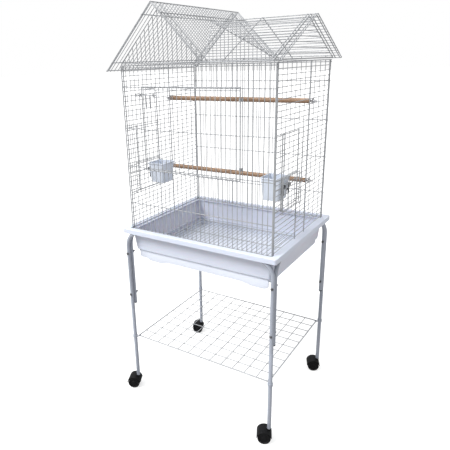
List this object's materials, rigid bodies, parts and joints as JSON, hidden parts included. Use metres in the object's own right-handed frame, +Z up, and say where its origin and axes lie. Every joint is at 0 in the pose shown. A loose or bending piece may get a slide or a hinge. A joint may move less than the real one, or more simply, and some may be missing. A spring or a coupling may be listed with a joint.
{
  "type": "bird cage on stand",
  "caption": "Wire bird cage with a cross-gabled roof, hinged front door, lift-up cup doors, seed cups and perches, on a plastic base with a pull-out tray and a tube stand on casters.",
  "frame": {"origin": "on the floor, under the middle of the cage's plan", "axes": "+Z up, +X to the right along the front, +Y from the front door to the back wall"},
  "size_m": [0.5964, 0.5045, 1.3084],
  "materials": {
    "white_wire": "white powder coat, satin",
    "white_tube": "white powder coat, satin",
    "base_plastic": "moulded, faintly cool white",
    "cup_plastic": "moulded white",
    "black_plastic": "moulded, fine grain",
    "perch_wood": "turned hardwood dowel, bare",
    "zinc_steel": "zinc plated",
    "dark_steel": "blackened fastener"
  },
  "bodies": {
    "cage": {"front_wall": "white_wire", "back_wall": "white_wire", "left_wall": "white_wire", "right_wall": "white_wire", "door_hinge_clips": "white_wire", "latch_keeper": "white_wire", "cup_door_guides_left": "white_wire", "cup_door_guides_right": "white_wire", "roof_main_left_slope": "white_wire", "roof_main_right_slope": "white_wire", "roof_cross_front_slope": "white_wire", "roof_cross_back_slope": "white_wire", "gable_end_front": "white_wire", "gable_end_back": "white_wire", "gable_end_right": "white_wire", "shelf_grid": "white_wire", "stand_front_frame": "white_tube", "stand_back_frame": "white_tube", "stand_left_frame": "white_tube", "stand_right_frame": "white_tube", "lower_leg_front_left": "white_tube", "lower_leg_front_right": "white_tube", "lower_leg_back_left": "white_tube", "lower_leg_back_right": "white_tube", "shelf_collars": "white_tube", "base_tub": "base_plastic", "tube_end_caps": "black_plastic", "caster_sockets": "black_plastic", "perch_upper": "perch_wood", "perch_lower": "perch_wood", "caster_stems": "zinc_steel", "perch_bolts": "zinc_steel", "perch_washers": "zinc_steel", "perch_wing_nuts": "zinc_steel", "stand_bolts": "dark_steel", "stand_nuts": "dark_steel"},
    "door": {"front_door": "white_wire", "latch_guides": "white_wire"},
    "latch": {"door_latch": "white_wire"},
    "cup_door_l": {"cup_door_left": "white_wire"},
    "cup_door_r": {"cup_door_right": "white_wire"},
    "drawer": {"drawer_tray": "base_plastic", "floor_grate": "white_wire"},
    "cup_l": {"seed_cup_left": "cup_plastic", "cup_hooks_left": "black_plastic"},
    "cup_r": {"seed_cup_right": "cup_plastic", "cup_hooks_right": "black_plastic"},
    "swivel_front_left": {"caster_hood_front_left": "black_plastic"},
    "wheels_front_left": {"caster_axle_front_left": "zinc_steel", "caster_wheels_front_left": "black_plastic"},
    "swivel_front_right": {"caster_hood_front_right": "black_plastic"},
    "wheels_front_right": {"caster_axle_front_right": "zinc_steel", "caster_wheels_front_right": "black_plastic"},
    "swivel_back_left": {"caster_hood_back_left": "black_plastic"},
    "wheels_back_left": {"caster_axle_back_left": "zinc_steel", "caster_wheels_back_left": "black_plastic"},
    "swivel_back_right": {"caster_hood_back_right": "black_plastic"},
    "wheels_back_right": {"caster_axle_back_right": "zinc_steel", "caster_wheels_back_right": "black_plastic"}
  },
  "joints": [
    {"name": "door_hinge", "type": "hinge", "parent": "cage", "child": "door", "pos_m": [0.15435, -0.2088, 0.96], "axis": [0, 0, 1], "range_deg": [0, 170]},
    {"name": "latch_slide", "type": "slide", "parent": "door", "child": "latch", "axis": [1, 0, 0], "range_m": [-0.01, 0]},
    {"name": "cup_door_left_lift", "type": "slide", "parent": "cage", "child": "cup_door_l", "axis": [0, 0, 1], "range_m": [0, 0.088]},
    {"name": "cup_door_right_lift", "type": "slide", "parent": "cage", "child": "cup_door_r", "axis": [0, 0, 1], "range_m": [0, 0.088]},
    {"name": "drawer_slide", "type": "slide", "parent": "cage", "child": "drawer", "axis": [0, -1, 0], "range_m": [0, 0.3]},
    {"name": "seed_cup_left_lift", "type": "slide", "parent": "cage", "child": "cup_l", "axis": [0, 0, 1], "range_m": [0, 0.012]},
    {"name": "seed_cup_right_lift", "type": "slide", "parent": "cage", "child": "cup_r", "axis": [0, 0, 1], "range_m": [0, 0.012]},
    {"name": "caster_swivel_front_left", "type": "hinge", "parent": "cage", "child": "swivel_front_left", "pos_m": [-0.267, -0.2202, 0.044], "axis": [0, 0, 1], "continuous": true},
    {"name": "caster_roll_front_left", "type": "hinge", "parent": "swivel_front_left", "child": "wheels_front_left", "pos_m": [-0.28059, -0.22654, 0.021], "axis": [-0.4226, 0.9063, 0], "continuous": true},
    {"name": "caster_swivel_front_right", "type": "hinge", "parent": "cage", "child": "swivel_front_right", "pos_m": [0.267, -0.2202, 0.044], "axis": [0, 0, 1], "continuous": true},
    {"name": "caster_roll_front_right", "type": "hinge", "parent": "swivel_front_right", "child": "wheels_front_right", "pos_m": [0.2534, -0.22654, 0.021], "axis": [-0.4226, 0.9063, 0], "continuous": true},
    {"name": "caster_swivel_back_left", "type": "hinge", "parent": "cage", "child": "swivel_back_left", "pos_m": [-0.267, 0.2202, 0.044], "axis": [0, 0, 1], "continuous": true},
    {"name": "caster_roll_back_left", "type": "hinge", "parent": "swivel_back_left", "child": "wheels_back_left", "pos_m": [-0.28059, 0.21386, 0.021], "axis": [-0.4226, 0.9063, 0], "continuous": true},
    {"name": "caster_swivel_back_right", "type": "hinge", "parent": "cage", "child": "swivel_back_right", "pos_m": [0.267, 0.2202, 0.044], "axis": [0, 0, 1], "continuous": true},
    {"name": "caster_roll_back_right", "type": "hinge", "parent": "swivel_back_right", "child": "wheels_back_right", "pos_m": [0.2534, 0.21386, 0.021], "axis": [-0.4226, 0.9063, 0], "continuous": true}
  ]
}
